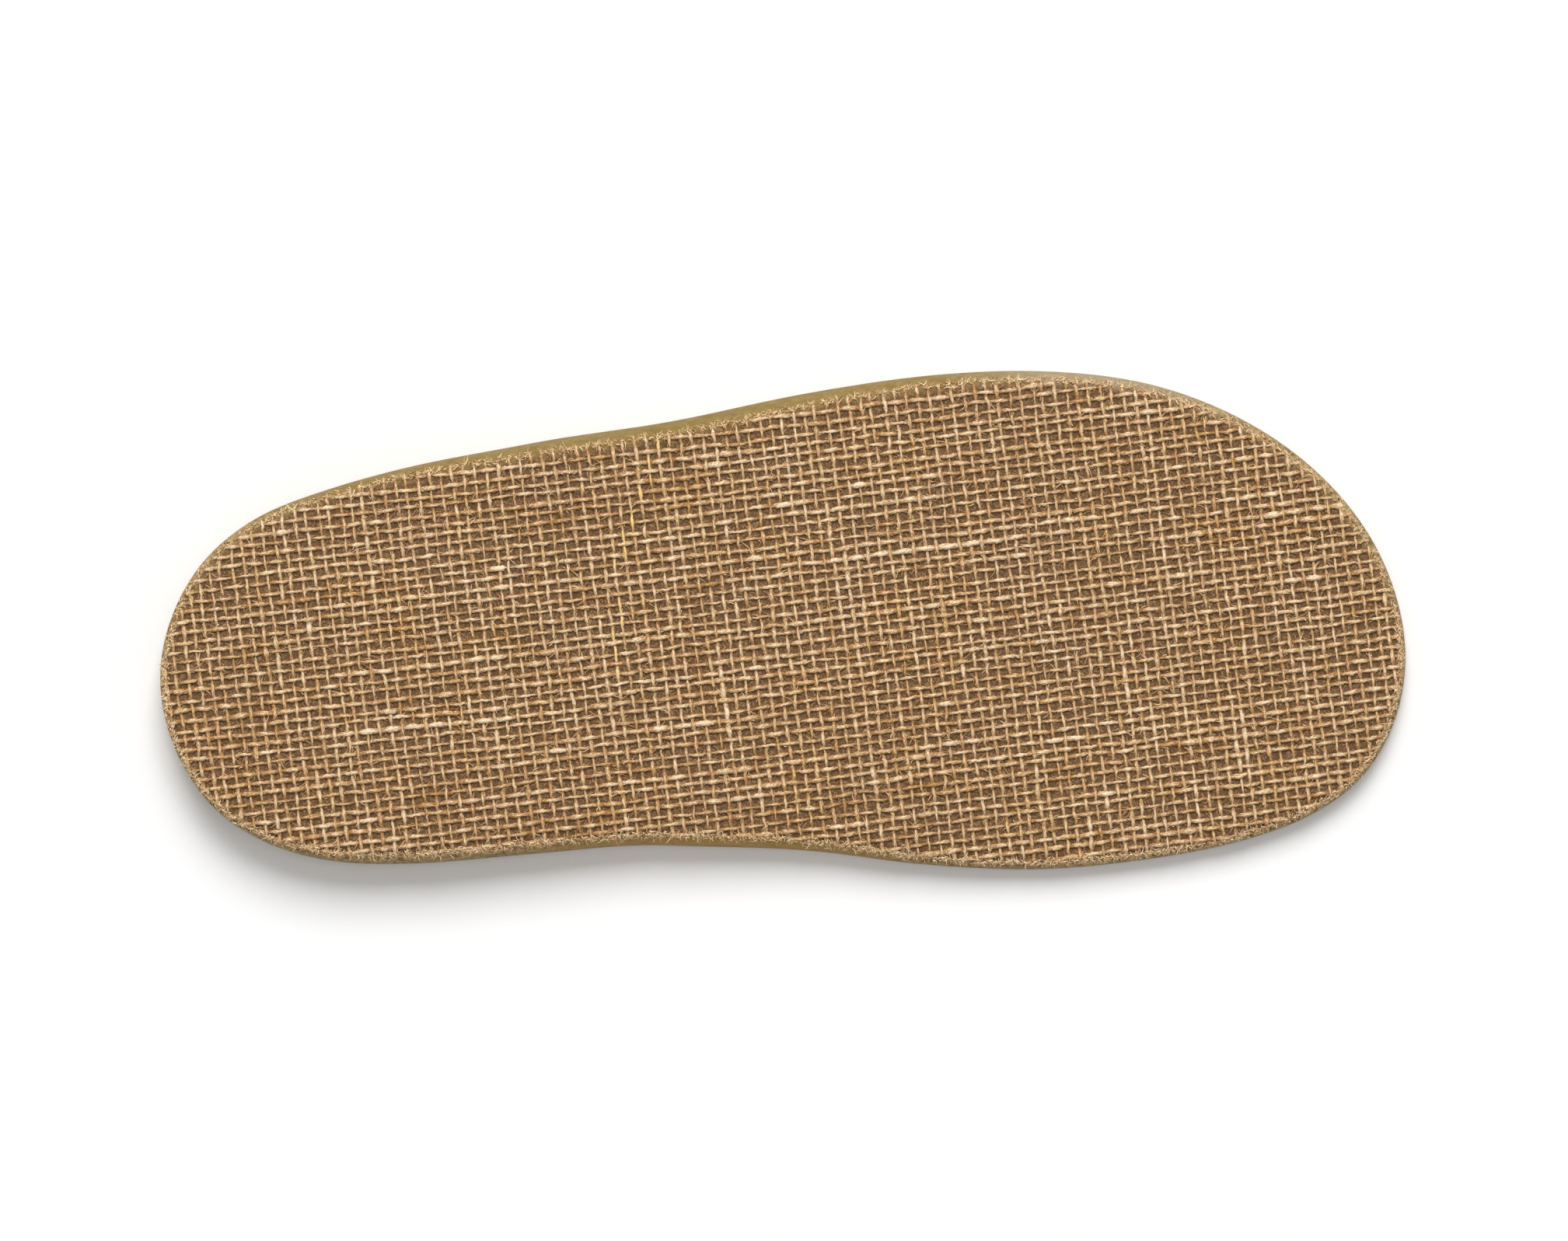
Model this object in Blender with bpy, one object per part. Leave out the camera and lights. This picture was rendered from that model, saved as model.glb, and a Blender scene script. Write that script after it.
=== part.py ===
"""A contoured shoe footbed: a moulded cork and latex body with jute cloth bonded to its underside.

It lies as on a table, foot side down and jute up. +X runs from heel to toe, +Y towards the outer side
of the foot and +Z up, all in metres. The origin is on the table, under the middle of the box.
"""

import math
from collections import namedtuple

import bmesh
import bpy

MM = 0.001

# Driving dimensions
LENGTH = 270 * MM
HEEL_RADIUS = 36.8 * MM
TOE_RADIUS = 42.2 * MM
LEAN = 2.24 * MM  # the heel's back point lies this far inward of the middle line, the toe's outward
JUTE_THICKNESS = 1.2 * MM
BOND_GAP = 0.3 * MM
RIM_WIDTH = 3.5 * MM  # flat ring that the foot side stands on

# Mesh density
SIDE_STEPS = 60
TOP_ACROSS = 6
DISH_ACROSS = 9
HALF_TURN = math.pi
SMALL_TURN = 1e-4
SHARP_ANGLE = math.radians(40)

# One row for each section across the foot, in millimetres: its distance from the heel, its reach to the
# outer and the inner side of the heel to toe line, the rim that shows beside the cloth on each side, the
# height of the body, the depth of the dish under the foot and how wide its slope is on each side.
Section = namedtuple(
    "Section", "station outer inner outer_rim inner_rim height dish outer_slope inner_slope"
)
SECTIONS = [
    Section(8, 23.7, 24.1, 0.8, 0.8, 12.6, 6.6, 16, 16),
    Section(20, 34.1, 34.6, 0.9, 1.1, 12.6, 6.6, 16, 16),
    Section(35, 40.1, 39.9, 1.1, 1.4, 12.5, 6.6, 16, 17),
    Section(55, 45.3, 41.1, 1.4, 1.5, 12.2, 6.5, 16, 20),
    Section(80, 49.7, 39.5, 1.9, 1.6, 11.6, 6.0, 17, 28),
    Section(110, 53.9, 38.1, 2.2, 1.7, 10.4, 4.6, 18, 34),
    Section(140, 59.6, 39.7, 2.1, 1.5, 8.6, 2.4, 18, 30),
    Section(165, 62.9, 43.1, 1.7, 1.0, 7.0, 0.6, 18, 22),
    Section(190, 63.6, 44.6, 1.2, 0.8, 6.0, 0.0, 18, 18),
    Section(215, 60.2, 42.7, 0.9, 0.7, 5.6, 0.0, 18, 18),
    Section(235, 52.1, 39.0, 0.7, 0.6, 5.6, 0.0, 18, 18),
    Section(250, 41.4, 33.5, 0.6, 0.6, 5.6, 0.0, 18, 18),
    Section(262, 27.0, 24.0, 0.6, 0.6, 5.6, 0.0, 18, 18),
]
TIP_RIM = 0.7 * MM

# One row for each ring of the body's wall, from the table up: how far in it lies, as a share of the rim
# that shows and in millimetres, and how high, as a share of the wall and in millimetres.
WallRing = namedtuple("WallRing", "rim_share inward wall_share upward")
WALL = [
    WallRing(0.00, 0.80, 0.00, 0.00),
    WallRing(0.00, 0.20, 0.00, 0.25),
    WallRing(0.00, 0.00, 0.08, 0.50),
    WallRing(0.25, 0.00, 0.50, 0.00),
    WallRing(0.60, 0.00, 0.84, 0.00),
]

# One row for each ring of the shoulder, from the rim inward: how far inside the rim it lies, how far the
# body has dropped there and the share of the cloth's full thickness that is left.
ShoulderRing = namedtuple("ShoulderRing", "inward drop cloth_share")
SHOULDER = [
    ShoulderRing(0.0, 1.10, 0.55),
    ShoulderRing(1.0, 0.45, 0.90),
    ShoulderRing(2.5, 0.10, 1.00),
    ShoulderRing(5.0, 0.00, 1.00),
]
DISH_RINGS = (20 * MM, 15 * MM, 11 * MM, 7 * MM, RIM_WIDTH)  # from the slope out to the flat rim

CORK_COLOUR = (0.36, 0.25, 0.11, 1.0)
CORK_ROUGHNESS = 0.62
JUTE_COLOUR = (0.37, 0.22, 0.11, 1.0)
JUTE_ROUGHNESS = 0.9


def smooth_curve(places, values):
    """A curve through the values, level at each crest, hollow and flat run between them."""
    slopes = [(b - a) / (q - p) for p, q, a, b in zip(places, places[1:], values, values[1:])]
    tangents = [slopes[0]]
    for before, after in zip(slopes, slopes[1:]):
        tangents.append((before + after) / 2 if before * after > 0 else 0.0)
    tangents.append(slopes[-1])

    def at(place):
        inside = min(max(place, places[0]), places[-1])
        k = max(i for i in range(len(places) - 1) if places[i] <= inside)
        span = places[k + 1] - places[k]
        t = (inside - places[k]) / span
        level = values[k] + t * t * (3 - 2 * t) * (values[k + 1] - values[k])
        bend = tangents[k] * (1 - t) - tangents[k + 1] * t
        return level + span * t * (1 - t) * bend

    return at


def turn_at(station):
    """The angle round the outline at a distance from the heel: 0 at the heel and half a turn at the toe."""
    return math.acos(1 - 2 * min(max(station / LENGTH, 0.0), 1.0))


def tip_fullness(radius):
    return math.sqrt(radius * LENGTH / 2)


def column(name):
    return [getattr(section, name) * MM for section in SECTIONS]


def fullness_curve(name):
    """The reach to one side over the sine of the angle, which stays smooth round the heel and the toe."""
    turns = [turn_at(station) for station in column("station")]
    full = [reach / math.sin(turn) for reach, turn in zip(column(name), turns)]
    ends = [tip_fullness(HEEL_RADIUS)], [tip_fullness(TOE_RADIUS)]
    return smooth_curve([0.0, *turns, HALF_TURN], [*ends[0], *full, *ends[1]])


def station_curve(name, heel=None, toe=None):
    values = column(name)
    first = values[0] if heel is None else heel
    last = values[-1] if toe is None else toe
    return smooth_curve([0.0, *column("station"), LENGTH], [first, *values, last])


OUTER_FULLNESS = fullness_curve("outer")
INNER_FULLNESS = fullness_curve("inner")
OUTER_RIM = station_curve("outer_rim", TIP_RIM, TIP_RIM)
INNER_RIM = station_curve("inner_rim", TIP_RIM, TIP_RIM)
HEIGHT = station_curve("height")
DISH = station_curve("dish")
OUTER_SLOPE = station_curve("outer_slope")
INNER_SLOPE = station_curve("inner_slope")


def outline(turn):
    """A point of the outline, from the heel's back point. Angles above 0 are on the outer side."""
    x = LENGTH / 2 * (1 - math.cos(turn))
    fullness = OUTER_FULLNESS(turn) if turn >= 0 else INNER_FULLNESS(-turn)
    return x, LEAN * (2 * x / LENGTH - 1) + math.sin(turn) * fullness


def inward(turn):
    """The direction from the outline into the footbed, level with the table."""
    ahead = outline(turn + SMALL_TURN)
    behind = outline(turn - SMALL_TURN)
    dx = ahead[0] - behind[0]
    dy = ahead[1] - behind[1]
    size = math.hypot(dx, dy)
    return dy / size, -dx / size


# The outline's angles: the heel, the outer side, the toe, then the inner side back to the heel
SIDE = [HALF_TURN * i / SIDE_STEPS for i in range(SIDE_STEPS)]
TURNS = [*SIDE, *[turn - HALF_TURN for turn in SIDE]]
EDGE = [outline(turn) for turn in TURNS]
# Past the toe the angle runs from minus half a turn, where the outline is the same point.
INWARD = [inward(turn if turn > -HALF_TURN else HALF_TURN - SMALL_TURN) for turn in TURNS]
BOX_MIDDLE = tuple((min(axis) + max(axis)) / 2 for axis in zip(*EDGE))


def rim_at(index):
    """The width of the rim that shows beside the cloth at a point of the outline."""
    rim = OUTER_RIM if TURNS[index] >= 0 else INNER_RIM
    return rim(EDGE[index][0])


def in_from_edge(index, distance):
    x, y = EDGE[index]
    return x + INWARD[index][0] * distance, y + INWARD[index][1] * distance


def eased(share):
    share = min(max(share, 0.0), 1.0)
    return share * share * (3 - 2 * share)


def dish_depth(x, y):
    """How deep the foot side is hollowed, by the distance to the nearest point of the outline."""
    distance, index = min((math.dist((x, y), point), index) for index, point in enumerate(EDGE))
    slope = OUTER_SLOPE if TURNS[index] >= 0 else INNER_SLOPE
    return DISH(x) * eased((distance - RIM_WIDTH) / slope(EDGE[index][0]))


def body_height(x, y):
    return HEIGHT(x)


def add_point(mesh, x, y, z):
    return mesh.verts.new((x - BOX_MIDDLE[0], y - BOX_MIDDLE[1], z))


def add_ring(mesh, distance_at, height_at):
    """A closed ring of points that follows the outline."""
    places = [in_from_edge(index, distance_at(index)) for index in range(len(TURNS))]
    return [add_point(mesh, x, y, height_at(x, y)) for x, y in places]


def join_rings(mesh, rings):
    for lower, upper in zip(rings, rings[1:]):
        for k in range(len(lower)):
            n = (k + 1) % len(lower)
            mesh.faces.new((lower[k], lower[n], upper[n], upper[k]))


def fill_ring(mesh, ring, across, height_at):
    """Closes a ring with rows from its outer to its inner side, and a fan at the heel and the toe."""
    rows = []
    for i in range(1, SIDE_STEPS):
        row = [ring[i]]
        for k in range(1, across):
            place = ring[i].co.lerp(ring[-i].co, k / across)
            x = place.x + BOX_MIDDLE[0]
            y = place.y + BOX_MIDDLE[1]
            row.append(add_point(mesh, x, y, height_at(x, y)))
        rows.append([*row, ring[-i]])
    for row, after in zip(rows, rows[1:]):
        for k in range(across):
            mesh.faces.new((row[k], after[k], after[k + 1], row[k + 1]))
    for tip, row in ((ring[0], rows[0]), (ring[SIDE_STEPS], rows[-1])):
        for k in range(across):
            mesh.faces.new((tip, row[k], row[k + 1]))


def finish(name, mesh, material):
    """Turns the faces outward, cuts them into triangles and makes the named object."""
    bmesh.ops.triangulate(mesh, faces=mesh.faces[:])
    bmesh.ops.recalc_face_normals(mesh, faces=mesh.faces[:])
    data = bpy.data.meshes.new(name)
    mesh.to_mesh(data)
    mesh.free()
    data.shade_smooth()
    data.set_sharp_from_angle(angle=SHARP_ANGLE)
    data.materials.append(material)
    part = bpy.data.objects.new(name, data)
    bpy.context.scene.collection.objects.link(part)
    return part


def plain_material(name, colour, roughness):
    material = bpy.data.materials.new(name)
    material.use_nodes = True
    shader = material.node_tree.nodes["Principled BSDF"]
    shader.inputs["Base Color"].default_value = colour
    shader.inputs["Roughness"].default_value = roughness
    shader.inputs["Metallic"].default_value = 0.0
    return material


def wall_ring(mesh, row):
    """A ring of the flared wall, which ends where the shoulder begins."""
    return add_ring(
        mesh,
        lambda index: rim_at(index) * row.rim_share + row.inward * MM,
        lambda x, y: (HEIGHT(x) - SHOULDER[0].drop * MM) * row.wall_share + row.upward * MM,
    )


def shoulder_ring(mesh, row, raised):
    """A ring of the shoulder, with the height that is added over the body there."""
    return add_ring(
        mesh,
        lambda index: rim_at(index) + row.inward * MM,
        lambda x, y: HEIGHT(x) - row.drop * MM + raised,
    )


def footbed_body():
    """The moulded body: dished foot side on the table, flared wall, rounded shoulder and top."""
    mesh = bmesh.new()
    rings = []
    for distance in DISH_RINGS:
        rings.append(add_ring(mesh, lambda index: distance, dish_depth))
    for row in WALL:
        rings.append(wall_ring(mesh, row))
    for row in SHOULDER:
        rings.append(shoulder_ring(mesh, row, 0.0))
    join_rings(mesh, rings)
    fill_ring(mesh, rings[0], DISH_ACROSS, dish_depth)
    fill_ring(mesh, rings[-1], TOP_ACROSS, body_height)
    return finish("footbed_body", mesh, plain_material("cork", CORK_COLOUR, CORK_ROUGHNESS))


def jute_cover():
    """The cloth over the top, thinner where its edge is pressed down along the rim."""
    mesh = bmesh.new()
    under = [shoulder_ring(mesh, row, BOND_GAP) for row in SHOULDER]
    over = [
        shoulder_ring(mesh, row, BOND_GAP + JUTE_THICKNESS * row.cloth_share) for row in SHOULDER
    ]
    join_rings(mesh, [*reversed(under), *over])
    fill_ring(mesh, under[-1], TOP_ACROSS, lambda x, y: HEIGHT(x) + BOND_GAP)
    fill_ring(mesh, over[-1], TOP_ACROSS, lambda x, y: HEIGHT(x) + BOND_GAP + JUTE_THICKNESS)
    return finish("jute_cover", mesh, plain_material("jute", JUTE_COLOUR, JUTE_ROUGHNESS))


def main():
    for old in list(bpy.data.objects):
        bpy.data.objects.remove(old)
    footbed_body()
    jute_cover()


main()
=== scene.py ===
"""The looks of a jute-faced shoe footbed, seen from straight above, jute side up.

The cloth is woven yarn by yarn over the moulded body, with its frayed cut edge and loose fibres.
Weave sizes are in millimetres and turn into metres where a mesh is made.
"""

import math
from collections import namedtuple

import bmesh
import bpy
import numpy as np
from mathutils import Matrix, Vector
from mathutils.bvhtree import BVHTree


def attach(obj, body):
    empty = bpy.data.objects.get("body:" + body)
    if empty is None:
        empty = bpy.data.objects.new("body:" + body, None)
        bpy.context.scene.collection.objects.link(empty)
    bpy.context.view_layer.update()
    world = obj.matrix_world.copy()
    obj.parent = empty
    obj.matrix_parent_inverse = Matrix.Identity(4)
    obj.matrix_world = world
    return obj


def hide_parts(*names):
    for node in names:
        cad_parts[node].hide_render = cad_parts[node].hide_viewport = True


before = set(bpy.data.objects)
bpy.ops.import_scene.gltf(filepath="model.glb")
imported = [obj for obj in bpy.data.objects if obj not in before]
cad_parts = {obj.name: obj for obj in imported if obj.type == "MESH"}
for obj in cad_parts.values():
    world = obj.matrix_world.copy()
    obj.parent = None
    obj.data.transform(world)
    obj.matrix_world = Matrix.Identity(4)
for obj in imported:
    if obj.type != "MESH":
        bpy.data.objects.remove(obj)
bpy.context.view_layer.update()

MM = 0.001
SEED = 20
STEEP = 0.2  # a normal whose z is within this of level belongs to an upright face

# The photograph's frame, and the camera straight above the footbed
PHOTO_WIDTH = 2017
PIXELS_PER_MM = 5.925
CAMERA_HEIGHT = 1.5
RIM_HEIGHT = 1.2 * MM  # where the outline is widest, so where the scale holds
CAMERA_AIM = (0.06 * MM, -0.10 * MM)
SENSOR_WIDTH = 36.0

# Studio light: a soft key over the outer side, a weak lamp overhead and an even fill
KEY_DISTANCE = 3.0
KEY_ELEVATION = math.radians(50)
KEY_SIZE = 1.6
KEY_POWER = 82.0
OVERHEAD_HEIGHT = 2.8
OVERHEAD_SIZE = 1.2
OVERHEAD_POWER = 8.0
FILL_STRENGTH = 0.42
FLOOR_SIZE = 6.0

# The weave, measured across and along the footbed
HALF_LENGTH = 135.0
HALF_WIDTH = 56.0
LONG_PITCH = 2.141
LONG_START = 1.17
LONG_RISE = 16.07  # a long yarn climbs this far over half the length
LONG_BOW = 0.94
CROSS_PITCH = 2.504
CROSS_START = 0.25
CROSS_LEAN = 0.1304
CROSS_BOW = 1.09
CROSS_SWAY = 1.44
LONG_NUMBERS = range(-38, 39)
CROSS_NUMBERS = range(-62, 63)

# Unevenness along a yarn, as waves that each have a length and a size
SWAY_SHIFT = 0.11  # how far a whole yarn lies off its even line
SWAY_WAVES = ((24, 0.13), (7, 0.09), (2.2, 0.07))
SWAY_MARGIN = 5  # the sway is known this far past the footbed
YARN_JITTER = 0.045
GIRTH_SPREAD = 0.08  # how much one yarn's girth differs from another's
GIRTH_WAVES = ((17, 0.10), (4, 0.10), (1.4, 0.10))
GIRTH_JITTER = 0.09
GIRTH_LIMITS = (0.6, 1.75)
THICK_PLACE_EVERY = 90
THICK_PLACE_GIRTH = (0.2, 0.5)
THICK_PLACE_REACH = (1.5, 4)
TINT_SPREAD = 0.35
TINT_WAVES = ((12, 0.5), (2.3, 0.8))
CROSS_TINT = -0.3  # cross yarns are a little darker than long ones

# Yarn sizes
LONG_HALF_WIDTH = 0.445
CROSS_HALF_WIDTH = 0.385
FLATNESS = 0.55
CRIMP = 0.15
SWELL = 0.05  # how much wider a yarn spreads where it lies on top
ROUGH = 0.16  # how far the yarn's surface stands in and out
ROUGH_SCALE = 2.3  # lumps to a millimetre
YARN_STEP = 0.5
YARN_SIDES = 6
CLOTH_MIDDLE = 0.29  # the yarns' middle level over the bonding film
BOND_FILM = 0.42
EDGE_PRESS = 0.55  # share of the thickness left where the cut edge is pressed down
PRESS_WIDTH = 2.5

# How a yarn's streaks run, and what makes it paler or darker; the side and lift terms are painted
# shade and painted light
YARN_TWIST = 0.35  # radians to a millimetre
STREAK_STRETCH = 0.55
STREAK_STARTS = 1000  # each yarn starts somewhere along this, so that no two have the same streaks
STREAK_CONTRAST = 3.0
STREAK_LEVEL = -0.98
TINT_SHADE = 0.08
# painted shade: the yarn darkens towards its sides
SIDE_PAINTED_SHADE = -0.30
# painted light and shade: paler where the yarn lies on top, darker and orange-brown where it dives
# under
LIFT_PAINTED_LIGHT = 0.17

# The cut edge
TRIM_WAVE = (3, 0.25)  # how the cut wanders in from the edge
SHORTEST_RUN = 5  # a stretch of yarn with fewer points falls out
BARE_OUTER = 1.4  # a yarn that runs along the cut edge stops this far inside it on the outer side
BARE_INNER = 0.7  # and this far on the inner side
TIP_LENGTH = 1.6  # a cut end thins out and pales over this length
TIP_GIRTH = 0.5
TIP_TINT = 1.5

# Loose fibres
FIBRE_HALF_WIDTH = 0.032
FIBRE_SIDES = 3
FIBRE_ARCH = 0.12
FIBRE_TAPER = 0.7
LOWEST_FIBRE = 0.02
FUZZ_COUNT = 18000
STRAY_COUNT = 200
FRAY_PER_END = 9
MAT_PER_MM = 6.0
MAT_INNER = 2.0  # how much denser the mat is along the inner side
MAT_INNER_PAINTED_LIGHT = 0.7  # and how much paler, as painted light where the inner side lies in shade

# A kind of fibre. Lengths and heights over the ground are ranges, girths are a range or a few sizes
# to pick from, a tint has a middle and a spread, and droop is how fast the fibre may sag.
FibreKind = namedtuple("FibreKind", "lengths curl girths tint steps heights droop")
FUZZ = FibreKind((0.5, 2.4), 0.45, (0.9, 1.6, 2.6, 3.8), (0.0, 0.9), 2, (0.10, 0.65), 0.3)
STRAY = FibreKind((2.0, 6.0), 0.5, (0.6, 1.4), (0.8, 0.8), 6, (0.6, 0.9), 0.2)
FRAY = FibreKind((0.4, 1.0), 0.5, (0.7, 2.2), (1.2, 0.8), 3, (0.05, 0.55), 0.5)
MAT = FibreKind((0.4, 1.0), 0.8, (1.0, 2.0, 3.0, 4.5), (1.1, 1.2), 3, (0.10, 0.95), 0.4)
FUZZ_MEAN_LENGTH = 0.45  # on top of the shortest
FUZZ_SIDE = (0.24, 0.52)  # how far from its yarn's middle a fibre starts
FUZZ_TURN = 0.45
FRAY_SIDE = 0.30
FRAY_BACK = (0.1, 1.2)  # how far behind the cut end a fibre starts
FRAY_TURN = 0.35
MAT_DEPTH = (0.80, 0.35)  # how far inside the cut edge the mat lies, and its spread
MAT_TURN = 0.6

# The finish of the body and the painted light on its inner side, as places along it where one fades
# into the next
OUTER_SKIN = (-128, -92, 72, 104)  # smooth moulded skin fades in and out again on the outer side
INNER_SKIN = (-66, -30, 2, 36)
PALE_SKIN = (26, 66)  # the outer skin pales towards the toe
INNER_PAINTED_LIGHT = (-20, 0)  # across it: the inner side is painted lighter and warmer, painted light where that side lies in shade
FILM_EDGE = (-0.4, 0.9)  # the dark film fades in over this, counted from the bare edge; its darkness is partly painted shade in the gaps
FILM_RISE = 1.5  # the film reaches its thickness this far inside the cut edge
SHELL_LEVELS = 1
SHELL_REACH = 0.6 * MM

# The cloth is one cut. It is made in four strips, each from one cross yarn to another.
STRIPS = {"heel": (-99, -26), "waist": (-26, 3), "ball": (3, 31), "toe": (31, 99)}

# A thick pale place in a yarn, charted: its middle, its length and its girth
SLUB_GIRTH = 0.6  # share of the charted girth that the yarn takes on
SLUB_TINT = 3.8
Slub = namedtuple("Slub", "x y length girth")
LONG_SLUBS = [
    Slub(29, 14.7, 42, 1.75),
    Slub(51, 14.5, 9, 1.5),
    Slub(62, -25.5, 9, 1.5),
    Slub(71, -37.5, 10, 1.35),
    Slub(77.5, -19.8, 5, 1.5),
    Slub(112.5, 9, 10, 1.5),
    Slub(121, 25.5, 5, 1.6),
    Slub(27.5, -30.5, 5, 1.5),
    Slub(14.5, -1.3, 5, 1.7),
    Slub(16, 28.3, 4, 1.6),
    Slub(1.5, 24.6, 6, 1.8),
    Slub(-13, 21, 4, 1.5),
    Slub(-15, 34.4, 10, 1.4),
    Slub(-18, -22.5, 6, 1.7),
    Slub(-48.5, -28.5, 6, 1.5),
    Slub(-62, 11.2, 4, 1.7),
    Slub(-75, -22.6, 36, 1.65),
    Slub(113, -33.5, 12, 1.5),
    Slub(108, 24, 12, 1.5),
    Slub(-108.5, 19.4, 4, 1.6),
    Slub(-120, -18, 4, 1.5),
    Slub(14, -44, 8, 1.5),
]
CROSS_SLUBS = [
    Slub(-12.3, -19.5, 17, 1.9),
    Slub(72.8, -12, 15, 1.8),
    Slub(99, -25, 15, 1.6),
    Slub(67.5, -30, 3, 1.5),
    Slub(66, -44.5, 5, 1.5),
    Slub(28.5, -8.5, 3, 1.6),
    Slub(-101.8, -1, 4, 1.8),
    Slub(-88.5, 8, 4, 1.3),
]

# Golden streaks on the cross yarns at listed places; each mixes a golden colour into a strip along the
# yarn's top
GoldenStreak = namedtuple("GoldenStreak", "x y length")
GOLDEN_STREAKS = [
    GoldenStreak(-27.2, 38.6, 4),
    GoldenStreak(-28.9, 32.8, 6),
    GoldenStreak(-30.7, 27.2, 4),
    GoldenStreak(-32.3, 22.3, 5),
    GoldenStreak(-34.3, 16.6, 6),
    GoldenStreak(-36.3, 12.1, 2),
    GoldenStreak(-35.2, 1.4, 8),
    GoldenStreak(-36.5, -7.0, 10),
]

# Places where the cloth is darker and warmer: the middle, the size and how deep
DarkPatch = namedtuple("DarkPatch", "x y length width depth")
DARK_PATCHES = [
    DarkPatch(-30, -43, 100, 24, 1.0),
    DarkPatch(22, -25, 30, 22, 1.0),
    DarkPatch(-38, 25, 40, 20, 0.9),
    DarkPatch(-121, -24, 24, 20, 1.2),
    DarkPatch(112, -25, 34, 18, 0.8),
]


class NodeTree:
    """A node tree with short calls to add its nodes and join them."""

    def __init__(self, tree):
        self.tree = tree

    def add(self, kind, inputs=None, **settings):
        node = self.tree.nodes.new(kind)
        for name, value in settings.items():
            setattr(node, name, value)
        for key, value in (inputs or {}).items():
            if isinstance(value, bpy.types.NodeSocket):
                self.tree.links.new(value, node.inputs[key])
            else:
                node.inputs[key].default_value = value
        return node

    def math(self, operation, *values):
        inputs = dict(enumerate(values))
        return self.add("ShaderNodeMath", inputs, operation=operation).outputs[0]

    def join(self, source, target):
        self.tree.links.new(source, target)


def smooth_step(low, high, value):
    share = np.clip((value - low) / (high - low), 0.0, 1.0)
    return share * share * (3 - 2 * share)


def drift(rng, places, wavelength, size):
    """A smooth seeded wander along a line, through random heights one wavelength apart."""
    spots = (places - places.min()) / wavelength + rng.random()
    knots = rng.normal(0.0, size, int(spots.max()) + 2)
    before = np.floor(spots).astype(int)
    share = smooth_step(0.0, 1.0, spots - before)
    return knots[before] * (1 - share) + knots[before + 1] * share


def drifts(rng, places, waves):
    """Several wanders laid over each other."""
    return sum(drift(rng, places, wavelength, size) for wavelength, size in waves)


# Meshes


def vertex_places(data):
    places = np.zeros(len(data.vertices) * 3)
    data.vertices.foreach_get("co", places)
    return places.reshape(-1, 3)


def set_vertex_places(data, places):
    data.vertices.foreach_set("co", places.ravel())
    data.update()


def store_values(data, label, values):
    attribute = data.attributes.new(label, "FLOAT", "POINT")
    attribute.data.foreach_set("value", values.astype(np.float32))


def new_piece(name, data):
    piece = bpy.data.objects.new(name, data)
    bpy.context.scene.collection.objects.link(piece)
    return piece


def merged_copy(name, node):
    """A copy of a CAD node's mesh with its loose triangles joined into quads."""
    mesh = bmesh.new()
    mesh.from_mesh(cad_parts[node].data)
    bmesh.ops.remove_doubles(mesh, verts=mesh.verts[:], dist=0.01 * MM)
    bmesh.ops.join_triangles(
        mesh, faces=mesh.faces[:], angle_face_threshold=1.0, angle_shape_threshold=1.2
    )
    data = bpy.data.meshes.new(name)
    mesh.to_mesh(data)
    mesh.free()
    return new_piece(name, data)


def shaped_mesh(piece):
    """A piece's mesh as its modifiers shape it, with its attributes."""
    graph = bpy.context.evaluated_depsgraph_get()
    return bpy.data.meshes.new_from_object(
        piece.evaluated_get(graph), preserve_all_data_layers=True, depsgraph=graph
    )


def apply_modifiers(piece):
    shaped = shaped_mesh(piece)
    piece.modifiers.clear()
    shaped.name = piece.name
    piece.data = shaped


def smooth_through_points(piece, levels, reach):
    """Subdivides a piece smoothly. Points that would move less than reach stay where they are."""
    smoother = piece.modifiers.new("smooth", "SUBSURF")
    smoother.levels = levels
    smoother.render_levels = levels
    wanted = vertex_places(piece.data)
    for _ in range(2):
        shaped = shaped_mesh(piece)
        shift = wanted - vertex_places(shaped)[: len(wanted)]
        shift[np.linalg.norm(shift, axis=1) > reach] = 0.0
        set_vertex_places(piece.data, vertex_places(piece.data) + shift)
        bpy.data.meshes.remove(shaped)
    apply_modifiers(piece)


# The cut edge and the ground that the cloth lies on


def cloth_edge():
    """The cut edge of the cloth, as points in order round the footbed, in millimetres."""
    mesh = bmesh.new()
    mesh.from_mesh(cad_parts["jute_cover"].data)
    upright = [face for face in mesh.faces if abs(face.normal.z) < STEEP]
    places = {(round(v.co.x, 6), round(v.co.y, 6)) for face in upright for v in face.verts}
    mesh.free()
    ordered = sorted(places, key=lambda place: math.atan2(place[1], place[0]))
    return np.array(ordered) / MM


def edge_distance(edge, points):
    """How far inside the edge each point lies. Points outside it are below zero."""
    spans = np.roll(edge, -1, axis=0) - edge
    away = points[:, None, :] - edge[None]
    share = np.clip((away * spans).sum(2) / (spans * spans).sum(1), 0.0, 1.0)
    nearest = np.linalg.norm(away - share[..., None] * spans, axis=2).min(1)
    ends = edge + spans
    passes = (edge[:, 1] > points[:, 1:2]) != (ends[:, 1] > points[:, 1:2])
    rise = np.where(spans[:, 1] == 0.0, 1.0, spans[:, 1])
    meets = edge[:, 0] + (points[:, 1:2] - edge[:, 1]) / rise * spans[:, 0]
    inside = (passes & (points[:, :1] < meets)).sum(1) % 2 == 1
    return np.where(inside, nearest, -nearest)


def bare_edge(y):
    """How wide the edge is that no yarn runs along, on the outer or the inner side."""
    return np.where(y > 0, BARE_OUTER, BARE_INNER)


class Ground:
    """The top of the body, as heights in millimetres under points of the cloth."""

    def __init__(self, piece):
        self.faces = BVHTree.FromObject(piece, bpy.context.evaluated_depsgraph_get())

    def height(self, points):
        down = Vector((0, 0, -1))
        found = []
        for x, y in points:
            hit = self.faces.ray_cast(Vector((x * MM, y * MM, 1.0)), down)[0]
            found.append(math.nan if hit is None else hit.z / MM)
        return np.array(found)


# The weave


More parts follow.
